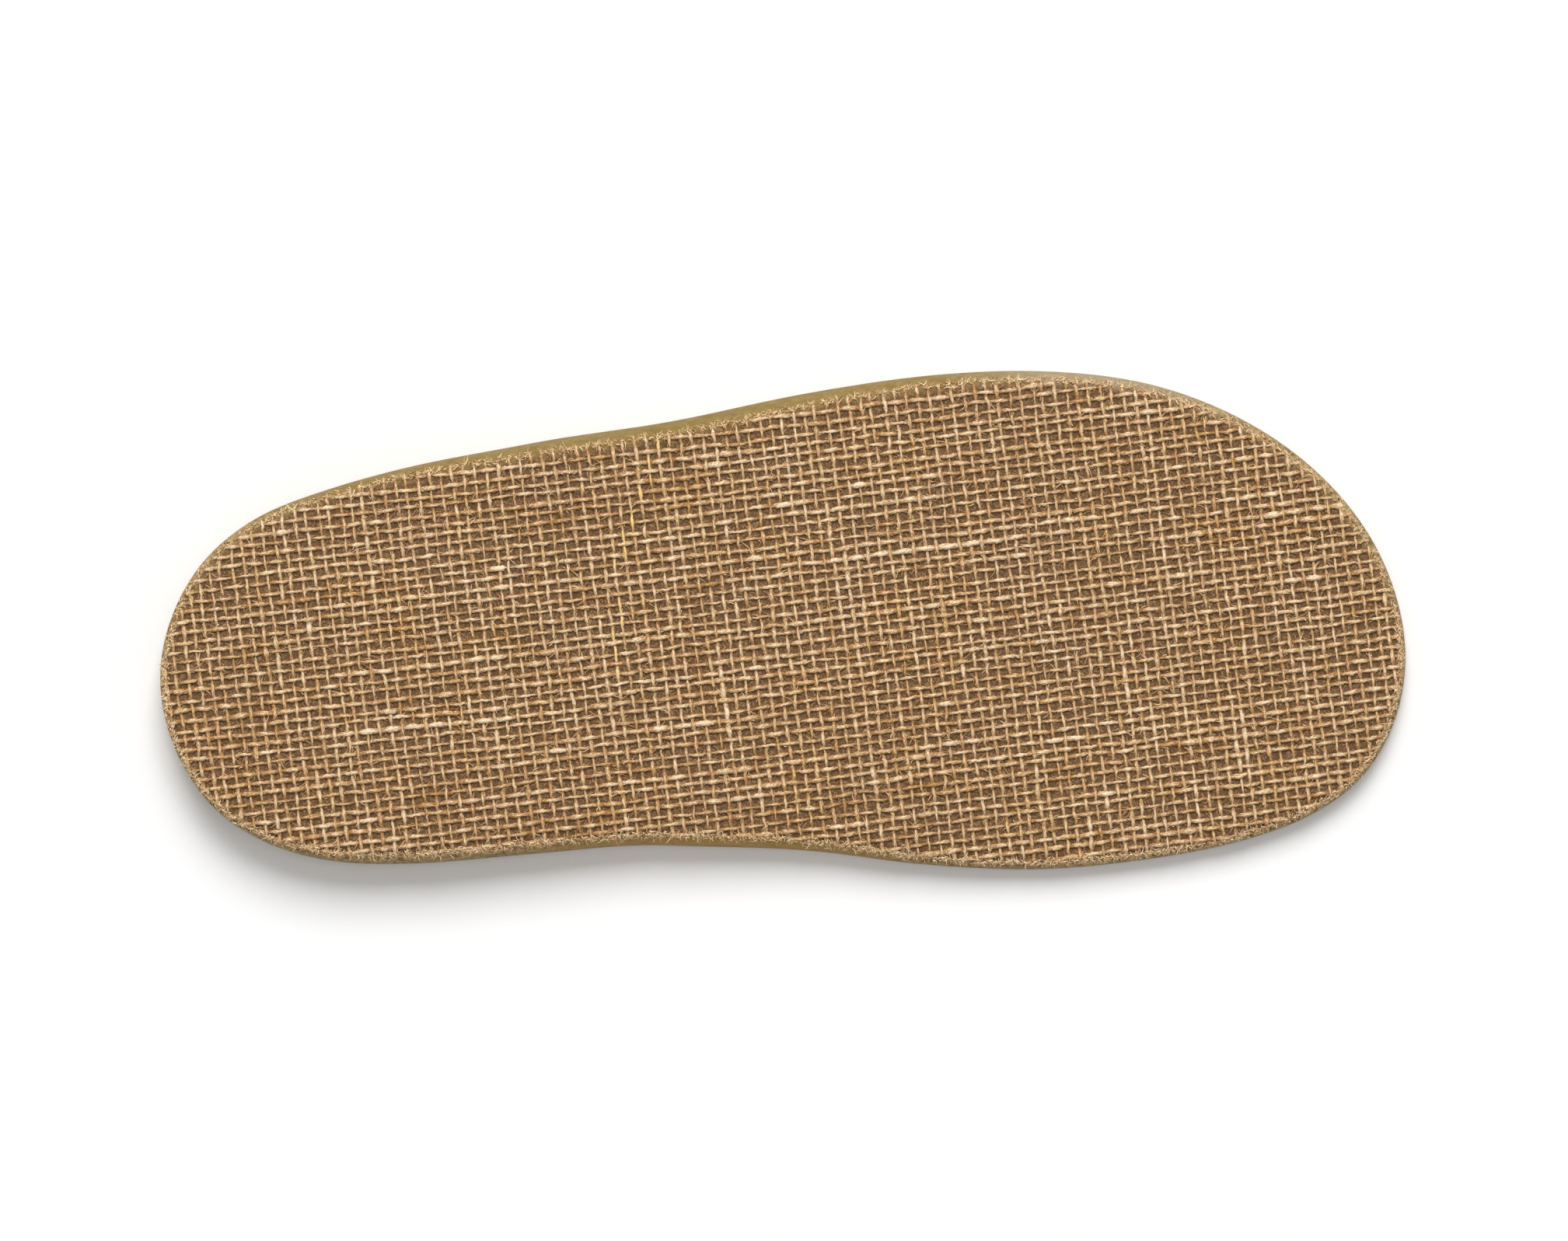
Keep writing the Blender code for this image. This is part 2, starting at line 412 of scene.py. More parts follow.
class Sway:
    """How far each yarn of a set strays sideways from its even line, along its length."""

    STEP = 0.75

    def __init__(self, rng, numbers, reach):
        self.first = numbers[0]
        self.reach = reach
        places = np.arange(-reach, reach + self.STEP, self.STEP)
        self.table = np.array([self.wander(rng, places) for _ in numbers])

    def wander(self, rng, places):
        return rng.normal(0.0, SWAY_SHIFT) + drifts(rng, places, SWAY_WAVES)

    def at(self, number, place):
        row = np.clip(number - self.first, 0, len(self.table) - 1.001)
        column = np.clip((place + self.reach) / self.STEP, 0, self.table.shape[1] - 1.001)
        r = np.floor(row).astype(int)
        c = np.floor(column).astype(int)
        low = self.table[r, c] * (1 - column + c) + self.table[r, c + 1] * (column - c)
        high = self.table[r + 1, c] * (1 - column + c) + self.table[r + 1, c + 1] * (column - c)
        return low * (1 - row + r) + high * (row - r)


class Weave:
    """Where the two sets of yarns lie, seen from above."""

    def __init__(self, rng):
        self.long_sway = Sway(rng, LONG_NUMBERS, HALF_LENGTH + SWAY_MARGIN)
        self.cross_sway = Sway(rng, CROSS_NUMBERS, HALF_WIDTH + SWAY_MARGIN)

    def long_line(self, x):
        share = x / HALF_LENGTH
        return LONG_START + LONG_RISE * share + LONG_BOW * share**2

    def cross_bend(self, x):
        share = x / HALF_LENGTH
        return CROSS_BOW * share**2 + CROSS_SWAY * share**3

    def long_yarn(self, number):
        x = np.arange(-HALF_LENGTH, HALF_LENGTH, YARN_STEP)
        y = number * LONG_PITCH + self.long_line(x) + self.long_sway.at(number, x)
        return np.stack([x, y], 1)

    def cross_yarn(self, number):
        y = np.arange(-HALF_WIDTH, HALF_WIDTH, YARN_STEP)
        even = number * CROSS_PITCH + CROSS_START - CROSS_LEAN * y
        x = even
        # The bend depends on x itself, so a few rounds settle it
        for _ in range(4):
            x = even - self.cross_bend(x)
        return np.stack([x + self.cross_sway.at(number, y), y], 1)

    def cross_number(self, points):
        """Between which cross yarns a point lies, as a number with a fraction."""
        x, y = points.T
        number = (x - CROSS_START + CROSS_LEAN * y + self.cross_bend(x)) / CROSS_PITCH
        return number - self.cross_sway.at(number, y) / CROSS_PITCH

    def long_number(self, points):
        x, y = points.T
        number = (y - self.long_line(x)) / LONG_PITCH
        return number - self.long_sway.at(number, x) / LONG_PITCH

    def in_strip(self, points, low, high):
        """Which points lie between two cross yarns, cut halfway between yarns."""
        number = self.cross_number(points)
        return (number >= low - 0.5) & (number < high - 0.5)


def charted(places, points, across):
    """For each charted place that this yarn runs through, its row and a share along the yarn."""
    reach = (CROSS_PITCH, LONG_PITCH)[across] / 2
    for place in places:
        away = points - (place.x, place.y)
        if abs(away[np.argmin((away**2).sum(1)), across]) < reach:
            yield place, np.exp(-((away[:, 1 - across] / (place.length / 2)) ** 4))


def slub_swell(slubs, points, across):
    """How much thicker the charted slubs make a yarn, along its length."""
    swell = np.zeros(len(points))
    for slub, share in charted(slubs, points, across):
        swell = np.maximum(swell, (slub.girth - 1) * share)
    return swell


def golden_streak_share(points):
    gold = np.zeros(len(points))
    for _, share in charted(GOLDEN_STREAKS, points, 0):
        gold = np.maximum(gold, share)
    return gold


def dark_patch_depth(points):
    depth = np.zeros(len(points))
    for stain in DARK_PATCHES:
        away = (points - (stain.x, stain.y)) / (stain.length / 2, stain.width / 2)
        depth += stain.depth * np.exp(-(away**2).sum(1))
    return depth


def yarn_girth(rng, points):
    """A spun yarn's own unevenness: slow drifts and a few thick places."""
    along = np.arange(len(points)) * YARN_STEP
    girth = rng.normal(1.0, GIRTH_SPREAD) + drifts(rng, along, GIRTH_WAVES)
    girth += rng.normal(0.0, GIRTH_JITTER, len(along))
    for _ in range(rng.poisson(along[-1] / THICK_PLACE_EVERY)):
        middle = rng.uniform(0, along[-1])
        more = rng.uniform(*THICK_PLACE_GIRTH)
        girth += more * np.exp(-(((along - middle) / rng.uniform(*THICK_PLACE_REACH)) ** 2))
    return np.clip(girth, *GIRTH_LIMITS)


def tip_share(count):
    """How far each point of a cut yarn is past its frayed tips, from 0 at an end to 1."""
    order = np.arange(count)
    return smooth_step(0.0, TIP_LENGTH, np.minimum(order, order[::-1]) * YARN_STEP)


def runs_of(keep):
    """The first and last place of each unbroken run of kept points."""
    padded = np.concatenate([[0], keep.astype(int), [0]])
    turns = np.diff(padded)
    return zip(np.flatnonzero(turns == 1), np.flatnonzero(turns == -1))


# One stretch of yarn or fibre: its points in millimetres and what each point carries
Strand = namedtuple("Strand", "points facts")


class Cloth:
    """All yarns of the cover, trimmed to the cut edge and lying on the body."""

    def __init__(self, edge, ground):
        self.rng = np.random.default_rng(SEED)
        self.edge = edge
        self.ground = ground
        self.weave = Weave(self.rng)
        self.long_yarns = [s for n in LONG_NUMBERS for s in self.strands(n, True)]
        self.cross_yarns = [s for n in CROSS_NUMBERS for s in self.strands(n, False)]

    def strands(self, number, lengthwise):
        """The stretches of one yarn inside the cut edge."""
        line = self.weave.long_yarn(number) if lengthwise else self.weave.cross_yarn(number)
        inside = edge_distance(self.edge, line)
        line = line + self.rng.normal(0.0, YARN_JITTER, line.shape)
        along = np.arange(len(line)) * YARN_STEP
        trim = np.abs(drift(self.rng, along, *TRIM_WAVE))
        girth = yarn_girth(self.rng, line)
        tint = self.rng.normal(0.0 if lengthwise else CROSS_TINT, TINT_SPREAD)
        tint = tint + drifts(self.rng, along, TINT_WAVES) - dark_patch_depth(line)
        start = self.rng.uniform(0, STREAK_STARTS)
        # A yarn that meets the cut edge squarely runs up to it, and one that runs along it stops short
        squareness = np.clip(np.abs(np.gradient(inside, YARN_STEP)), 0.0, 1.0)
        bare = bare_edge(line[:, 1]) * (1 - squareness)
        found = []
        for first, last in runs_of(inside > trim + bare):
            if last - first < SHORTEST_RUN:
                continue
            points = line[first:last]
            if lengthwise:
                phase = self.weave.cross_number(points) - number
                swell = slub_swell(LONG_SLUBS, points, 1)
                gold = np.zeros(len(points))
            else:
                phase = self.weave.long_number(points) - number + 1
                swell = slub_swell(CROSS_SLUBS, points, 0)
                gold = golden_streak_share(points)
            press = EDGE_PRESS + (1 - EDGE_PRESS) * smooth_step(0, PRESS_WIDTH, inside[first:last])
            height = self.ground.height(points) + CLOTH_MIDDLE * press
            whole = tip_share(len(points))
            thickness = np.clip(girth[first:last] + SLUB_GIRTH * swell, *GIRTH_LIMITS)
            facts = {
                "lift": np.cos(math.pi * phase),
                "press": press,
                "girth": thickness * (TIP_GIRTH + (1 - TIP_GIRTH) * whole),
                "tint": tint[first:last] + SLUB_TINT * swell + TIP_TINT * (1 - whole),
                "gold": gold,
                "along": start + along[first:last],
            }
            found.append(Strand(np.column_stack([points, height]), facts))
        return found

    def in_strip(self, strands, low, high):
        """The parts of some strands between two cross yarns."""
        found = []
        for strand in strands:
            keep = self.weave.in_strip(strand.points[:, :2], low, high)
            for first, last in runs_of(keep):
                last = min(last + 1, len(keep))
                if last - first < 2:
                    continue
                facts = {name: values[first:last] for name, values in strand.facts.items()}
                found.append(Strand(strand.points[first:last], facts))
        return found


# Loose fibres


class Fibres:
    """Fuzz on the yarns, stray fibres on the cloth and the frayed, matted cut edge."""

    def __init__(self, cloth):
        self.rng = np.random.default_rng(SEED + 1)
        self.cloth = cloth
        self.strands = []
        self.fuzz()
        self.strays()
        self.frayed_ends()
        self.matted_edge()

    def lay(self, kind, starts, headings, lengths, curls, girths, tints):
        """Curved fibres of one kind, between its heights over the ground."""
        count = len(starts)
        points_each = kind.steps + 1
        share = np.linspace(0.0, 1.0, points_each)
        ahead = lengths[:, None] * share
        aside = (curls * lengths)[:, None] * share**2
        x = starts[:, :1] + np.cos(headings)[:, None] * ahead - np.sin(headings)[:, None] * aside
        y = starts[:, 1:] + np.sin(headings)[:, None] * ahead + np.cos(headings)[:, None] * aside
        level = self.cloth.ground.height(np.column_stack([x.ravel(), y.ravel()]))
        level = level.reshape(count, points_each)
        ends = self.rng.uniform(*kind.heights, (2, count, 1))
        arch = self.rng.normal(0.0, FIBRE_ARCH, (count, 1)) * np.sin(math.pi * share)
        over = np.clip(ends[0] * (1 - share) + ends[1] * share + arch, LOWEST_FIBRE, None)
        level = np.maximum(level, level[:, :1] - kind.droop * ahead)
        for k in np.flatnonzero(np.isfinite(level).all(1)):
            points = np.column_stack([x[k], y[k], level[k] + over[k]])
            facts = {
                "girth": girths[k] * (1 - FIBRE_TAPER * share**2),
                "tint": np.full(points_each, tints[k]),
            }
            self.strands.append(Strand(points, facts))

    def fuzz(self):
        """Short fibres that stand out of the yarns into the gaps."""
        yarns = [*self.cloth.long_yarns, *self.cloth.cross_yarns]
        places = np.concatenate([yarn.points for yarn in yarns])
        ways = np.concatenate([np.gradient(yarn.points, axis=0) for yarn in yarns])
        picked = self.rng.integers(0, len(places), FUZZ_COUNT)
        heading = np.arctan2(ways[picked, 1], ways[picked, 0])
        side = self.rng.choice((-1, 1), FUZZ_COUNT) * self.rng.uniform(*FUZZ_SIDE, FUZZ_COUNT)
        across = np.column_stack([-np.sin(heading), np.cos(heading)])
        turned = heading + self.rng.normal(0.0, FUZZ_TURN, FUZZ_COUNT)
        turned += math.pi * self.rng.integers(0, 2, FUZZ_COUNT)
        longer = self.rng.exponential(FUZZ_MEAN_LENGTH, FUZZ_COUNT)
        lengths = np.clip(FUZZ.lengths[0] + longer, *FUZZ.lengths)
        curls = self.rng.normal(0.0, FUZZ.curl, FUZZ_COUNT)
        girths = self.rng.choice(FUZZ.girths, FUZZ_COUNT)
        tints = self.rng.normal(*FUZZ.tint, FUZZ_COUNT)
        starts = places[picked, :2] + across * side[:, None]
        self.lay(FUZZ, starts, turned, lengths, curls, girths, tints)

    def strays(self):
        """Longer fibres that lie over the yarns."""
        places = np.concatenate([yarn.points for yarn in self.cloth.long_yarns])[:, :2]
        starts = places[self.rng.integers(0, len(places), STRAY_COUNT)]
        headings = self.rng.uniform(0, 2 * math.pi, STRAY_COUNT)
        lengths = self.rng.uniform(*STRAY.lengths, STRAY_COUNT)
        curls = self.rng.normal(0.0, STRAY.curl, STRAY_COUNT)
        girths = self.rng.uniform(*STRAY.girths, STRAY_COUNT)
        tints = self.rng.normal(*STRAY.tint, STRAY_COUNT)
        self.lay(STRAY, starts, headings, lengths, curls, girths, tints)

    def frayed_ends(self):
        """Each cut yarn opens into a small brush of fibres."""
        starts = []
        headings = []
        for yarn in [*self.cloth.long_yarns, *self.cloth.cross_yarns]:
            for end, before in ((0, 1), (-1, -2)):
                out = yarn.points[end, :2] - yarn.points[before, :2]
                starts.append(yarn.points[end, :2])
                headings.append(math.atan2(out[1], out[0]))
        starts = np.repeat(np.array(starts), FRAY_PER_END, axis=0)
        headings = np.repeat(np.array(headings), FRAY_PER_END)
        count = len(starts)
        across = np.column_stack([-np.sin(headings), np.cos(headings)])
        starts = starts + across * self.rng.uniform(-FRAY_SIDE, FRAY_SIDE, (count, 1))
        ahead = np.column_stack([np.cos(headings), np.sin(headings)])
        starts = starts - ahead * self.rng.uniform(*FRAY_BACK, (count, 1))
        headings = headings + self.rng.normal(0.0, FRAY_TURN, count)
        lengths = self.rng.uniform(*FRAY.lengths, count)
        curls = self.rng.normal(0.0, FRAY.curl, count)
        girths = self.rng.uniform(*FRAY.girths, count)
        tints = self.rng.normal(*FRAY.tint, count)
        self.lay(FRAY, starts, headings, lengths, curls, girths, tints)

    def matted_edge(self):
        """Fibres pressed flat along the cut edge."""
        edge = self.cloth.edge
        spans = np.roll(edge, -1, axis=0) - edge
        sizes = np.linalg.norm(spans, axis=1)
        inner = edge[:, 1] < 0
        chance = sizes * np.where(inner, MAT_INNER, 1.0)
        count = int(chance.sum() * MAT_PER_MM)
        picked = self.rng.choice(len(edge), count, p=chance / chance.sum())
        heading = np.arctan2(spans[picked, 1], spans[picked, 0])
        inward = np.column_stack([-np.sin(heading), np.cos(heading)])
        depth = self.rng.normal(*MAT_DEPTH, (count, 1))
        starts = edge[picked] + spans[picked] * self.rng.random((count, 1)) + inward * depth
        headings = heading + self.rng.normal(0.0, MAT_TURN, count)
        headings += math.pi * self.rng.integers(0, 2, count)
        lengths = self.rng.uniform(*MAT.lengths, count)
        curls = self.rng.normal(0.0, MAT.curl, count)
        girths = self.rng.choice(MAT.girths, count)
        # painted light: fibres along the inner side are paler to make up for its shade
        tints = self.rng.normal(*MAT.tint, count) + MAT_INNER_PAINTED_LIGHT * inner[picked]
        self.lay(MAT, starts, headings, lengths, curls, girths, tints)

    def in_strip(self, low, high):
        """The fibres that start between two cross yarns."""
        starts = np.array([strand.points[0, :2] for strand in self.strands])
        keep = self.cloth.weave.in_strip(starts, low, high)
        return [strand for strand, kept in zip(self.strands, keep) if kept]


# Geometry nodes: yarns and fibres swept along their lines


def group_input(tree, name, kind, value=None):
    socket = tree.interface.new_socket(name=name, in_out="INPUT", socket_type=kind)
    if value is not None:
        socket.default_value = value


def sweep_tree(name, material, sides, half_width, flatness, crimp, rough):
    """Lines that carry lift, press and girth become closed tubes with a flattened round section."""
    tree = bpy.data.node_groups.new(name, "GeometryNodeTree")
    group_input(tree, "Lines", "NodeSocketGeometry")
    group_input(tree, "Sides", "NodeSocketInt", sides)
    group_input(tree, "Half width", "NodeSocketFloat", half_width * MM)
    group_input(tree, "Flatness", "NodeSocketFloat", flatness)
    group_input(tree, "Crimp", "NodeSocketFloat", crimp * MM)
    group_input(tree, "Rough", "NodeSocketFloat", rough * MM)
    tree.interface.new_socket(name="Tubes", in_out="OUTPUT", socket_type="NodeSocketGeometry")
    nodes = NodeTree(tree)
    given = nodes.add("NodeGroupInput").outputs

    def carried(label):
        node = nodes.add("GeometryNodeInputNamedAttribute", {"Name": label}, data_type="FLOAT")
        return node.outputs[0]

    lift = carried("lift")
    rise = nodes.math("MULTIPLY", nodes.math("MULTIPLY", lift, carried("press")), given["Crimp"])
    offset = nodes.add("ShaderNodeCombineXYZ", {"Z": rise}).outputs[0]
    waved = nodes.add("GeometryNodeSetPosition", {"Geometry": given["Lines"], "Offset": offset})
    curve = nodes.add("GeometryNodeMeshToCurve", {"Mesh": waved.outputs[0]})
    upright = nodes.add("GeometryNodeSetCurveNormal", {"Curve": curve.outputs[0]}, mode="Z_UP")
    circle = nodes.add(
        "GeometryNodeCurvePrimitiveCircle", {"Resolution": given["Sides"], "Radius": 1.0}
    )
    ridged = nodes.add(
        "GeometryNodeTransform",
        {"Geometry": circle.outputs[0], "Rotation": (0.0, 0.0, math.pi / 2)},
    )
    marked = nodes.add(
        "GeometryNodeStoreNamedAttribute",
        {
            "Geometry": ridged.outputs[0],
            "Name": "round",
            "Value": nodes.add("GeometryNodeInputPosition").outputs[0],
        },
        data_type="FLOAT_VECTOR",
        domain="POINT",
    )
    squeeze = nodes.add("ShaderNodeCombineXYZ", {"X": 1.0, "Y": given["Flatness"], "Z": 1.0})
    section = nodes.add(
        "GeometryNodeTransform", {"Geometry": marked.outputs[0], "Scale": squeeze.outputs[0]}
    )
    spread = nodes.math("MULTIPLY_ADD", lift, SWELL, 1.0)
    girth = nodes.math("MULTIPLY", carried("girth"), spread)
    tubes = nodes.add(
        "GeometryNodeCurveToMesh",
        {
            "Curve": upright.outputs[0],
            "Profile Curve": section.outputs[0],
            "Scale": nodes.math("MULTIPLY", girth, given["Half width"]),
            "Fill Caps": True,
        },
    )
    lumps = nodes.add("ShaderNodeTexNoise", {"Scale": ROUGH_SCALE / MM, "Detail": 1.0})
    in_and_out = nodes.math("MULTIPLY_ADD", lumps.outputs["Fac"], 2.0, -1.0)
    depth = nodes.math("MULTIPLY", in_and_out, given["Rough"])
    outward = nodes.add(
        "ShaderNodeVectorMath",
        {0: nodes.add("GeometryNodeInputNormal").outputs[0], "Scale": depth},
        operation="SCALE",
    )
    lumpy = nodes.add(
        "GeometryNodeSetPosition", {"Geometry": tubes.outputs[0], "Offset": outward.outputs[0]}
    )
    real = nodes.add("GeometryNodeRealizeInstances", {"Geometry": lumpy.outputs[0]})
    dressed = nodes.add(
        "GeometryNodeSetMaterial", {"Geometry": real.outputs[0], "Material": material}
    )
    out = nodes.add("NodeGroupOutput")
    nodes.join(dressed.outputs[0], out.inputs["Tubes"])
    return tree


def line_mesh(name, strands):
    """Joins strands into one mesh of lines whose points carry the strands' facts."""
    points = np.concatenate([strand.points for strand in strands]) * MM
    last = np.zeros(len(points), bool)
    last[np.cumsum([len(strand.points) for strand in strands]) - 1] = True
    starts = np.flatnonzero(~last)
    edges = np.column_stack([starts, starts + 1])
    data = bpy.data.meshes.new(name)
    data.from_pydata(points, edges.tolist(), [])
    for label in strands[0].facts:
        store_values(data, label, np.concatenate([strand.facts[label] for strand in strands]))
    return data


def swept(name, strands, tree):
    """A piece of tubes along the strands."""
    piece = new_piece(name, line_mesh(name, strands))
    piece.modifiers.new("sweep", "NODES").node_group = tree
    apply_modifiers(piece)
    return piece


def joined(name, pieces):
    """One piece from several, with their attributes."""
    with bpy.context.temp_override(
        active_object=pieces[0], object=pieces[0], selected_editable_objects=pieces
    ):
        bpy.ops.object.join()
    pieces[0].name = name
    pieces[0].data.name = name
    return pieces[0]


def add_flat_map(data, sides):
    """Lays the tubes' faces out flat, one row of faces for each ring, folded into columns.

    One tube's last cap and the next tube's first cap share the row between the two.
    """
    cap_radius = 0.3
    first_cap = 0.75 * sides
    last_cap = 0.25 * sides
    corners = np.zeros(len(data.loops), np.int32)
    data.loops.foreach_get("vertex_index", corners)
    starts = np.zeros(len(data.polygons), np.int32)
    data.polygons.foreach_get("loop_start", starts)
    sizes = np.diff(np.append(starts, len(corners)))
    ring, side = np.divmod(corners, sides)
    lowest = np.minimum.reduceat(ring, starts)
    is_cap = lowest == np.maximum.reduceat(ring, starts)
    closes = np.maximum.reduceat(side, starts) - np.minimum.reduceat(side, starts) > 1
    used = np.zeros(ring.max() + 2, bool)
    used[lowest[~is_cap]] = True
    opens = is_cap & used[lowest]

    def of_corners(values):
        return np.repeat(values, sizes)

    row = of_corners(np.where(opens, lowest, lowest + 1))
    across = np.where(of_corners(closes) & (side == 0), sides, side).astype(float)
    up = (ring - of_corners(lowest)).astype(float)
    turn = 2 * math.pi * side / sides
    middle = np.where(of_corners(opens), first_cap, last_cap)
    across = np.where(of_corners(is_cap), middle + cap_radius * np.cos(turn), across)
    up = np.where(of_corners(is_cap), 0.5 + cap_radius * np.sin(turn), up)
    rows = int(np.ceil(np.sqrt((ring.max() + 2) * (sides + 1))))
    columns = int(np.ceil((ring.max() + 2) / rows))
    u = (row // rows * (sides + 1) + 0.5 + across) / (columns * (sides + 1))
    v = (row % rows + up) / rows
    flat_map = data.uv_layers.new(name="OFBake")
    flat_map.data.foreach_set("uv", np.column_stack([u, v]).astype(np.float32).ravel())


# Materials


def new_material(name):
    material = bpy.data.materials.new(name)
    material.use_nodes = True
    nodes = NodeTree(material.node_tree)
    shader = material.node_tree.nodes["Principled BSDF"]
    return material, nodes, shader


def ramp(nodes, value, *stops):
    node = nodes.add("ShaderNodeValToRGB", {"Fac": value})
    while len(node.color_ramp.elements) < len(stops):
        node.color_ramp.elements.new(0.5)
    for element, (place, colour) in zip(node.color_ramp.elements, stops):
        element.position = place
        element.color = (*colour, 1.0)
    return node.outputs["Color"]


def mixed(nodes, share, first, second):
    inputs = {"Factor": share, 6: first, 7: second}
    return nodes.add("ShaderNodeMix", inputs, data_type="RGBA").outputs[2]


def carried_value(nodes, name, output="Fac"):
    return nodes.add("ShaderNodeAttribute", attribute_name=name).outputs[output]


def noise(nodes, place, scale, detail, roughness=0.6):
    inputs = {"Vector": place, "Scale": scale, "Detail": detail, "Roughness": roughness}
    return nodes.add("ShaderNodeTexNoise", inputs).outputs["Fac"]


def jute_yarn():
    """Spun jute: streaks that wind round the yarn, with a painted highlight on top of each float and
    painted shade, orange-brown, where it dives and on its sides.
    """
    material, nodes, shader = new_material("jute_yarn")
    along = carried_value(nodes, "along")
    section = carried_value(nodes, "round", "Vector")
    wound = nodes.add(
        "ShaderNodeVectorRotate",
        {"Vector": section, "Angle": nodes.math("MULTIPLY", along, YARN_TWIST)},
        rotation_type="Z_AXIS",
    ).outputs[0]
    stretch = nodes.add("ShaderNodeCombineXYZ", {"Z": nodes.math("MULTIPLY", along, STREAK_STRETCH)})
    spot = nodes.add(
        "ShaderNodeVectorMath", {0: wound, 1: stretch.outputs[0]}, operation="ADD"
    ).outputs[0]
    fibres = noise(nodes, spot, scale=2.8, detail=5.0, roughness=0.75)
    fleck = nodes.math("MULTIPLY_ADD", fibres, STREAK_CONTRAST, STREAK_LEVEL)
    tone = nodes.math("MULTIPLY_ADD", carried_value(nodes, "tint"), TINT_SHADE, fleck)
    sideways = nodes.add("ShaderNodeSeparateXYZ", {0: section}).outputs[0]
    aside = nodes.math("ABSOLUTE", sideways)
    # painted shade on the yarn's sides
    tone = nodes.math("MULTIPLY_ADD", aside, SIDE_PAINTED_SHADE, tone)
    # painted highlight on top of each float, painted shade where the yarn dives
    shade = nodes.math("MULTIPLY_ADD", carried_value(nodes, "lift"), LIFT_PAINTED_LIGHT, tone)
    spun = ramp(
        nodes,
        shade,
        (0.14, (0.29, 0.125, 0.036)),
        (0.34, (0.45, 0.240, 0.086)),
        (0.52, (0.58, 0.375, 0.182)),
        (0.80, (0.87, 0.710, 0.510)),
    )
    place = nodes.add("ShaderNodeTexCoord").outputs["Object"]
    patches = noise(nodes, place, scale=90.0, detail=3.0)
    richness = nodes.math("MULTIPLY_ADD", patches, 0.35, 0.84)
    spun = nodes.add("ShaderNodeHueSaturation", {"Color": spun, "Saturation": richness}).outputs[0]
    # the golden colour of the streaks along the cross yarns' tops
    golden_colour = ramp(nodes, fibres, (0.3, (0.70, 0.43, 0.13)), (0.7, (0.98, 0.77, 0.34)))
    strip = nodes.add("ShaderNodeMapRange", {0: aside, 1: 0.65, 2: 0.35}).outputs[0]
    gold = nodes.math("MULTIPLY", carried_value(nodes, "gold"), strip)
    colour = mixed(nodes, gold, spun, golden_colour)
    nodes.join(colour, shader.inputs["Base Color"])
    bump = nodes.add("ShaderNodeBump", {"Height": fibres, "Strength": 0.7, "Distance": 0.08 * MM})
    nodes.join(bump.outputs[0], shader.inputs["Normal"])
    shader.inputs["Roughness"].default_value = 0.72
    shader.inputs["Specular IOR Level"].default_value = 0.3
    shader.inputs["Sheen Weight"].default_value = 0.15
    shader.inputs["Sheen Roughness"].default_value = 0.5
    return material


def jute_fibre():
    """Loose single fibres: pale straw to brown."""
    material, nodes, shader = new_material("jute_fibre")
    colour = ramp(
        nodes,
        nodes.math("MULTIPLY_ADD", carried_value(nodes, "tint"), 0.22, 0.5),
        (0.0, (0.21, 0.090, 0.028)),
        (0.5, (0.53, 0.32, 0.140)),
        (0.8, (0.91, 0.62, 0.330)),
        (1.0, (0.97, 0.755, 0.48)),
    )
    nodes.join(colour, shader.inputs["Base Color"])
    shader.inputs["Roughness"].default_value = 0.6
    shader.inputs["Specular IOR Level"].default_value = 0.3
    return material


def stuck_fibres(nodes, place, turn):
    """Short straight fibres all one way, as they stick in the bonding film."""
    turned = nodes.add(
        "ShaderNodeVectorRotate",
        {"Vector": place, "Angle": math.radians(turn)},
        rotation_type="Z_AXIS",
    ).outputs[0]
    drawn = nodes.add(
        "ShaderNodeVectorMath", {0: turned, 1: (0.8 / MM, 3.6 / MM, 1.0)}, operation="MULTIPLY"
    ).outputs[0]
    field = noise(nodes, drawn, scale=1.0, detail=1.0, roughness=0.5)
    return nodes.add("ShaderNodeMapRange", {0: field, 1: 0.60, 2: 0.70}).outputs[0]


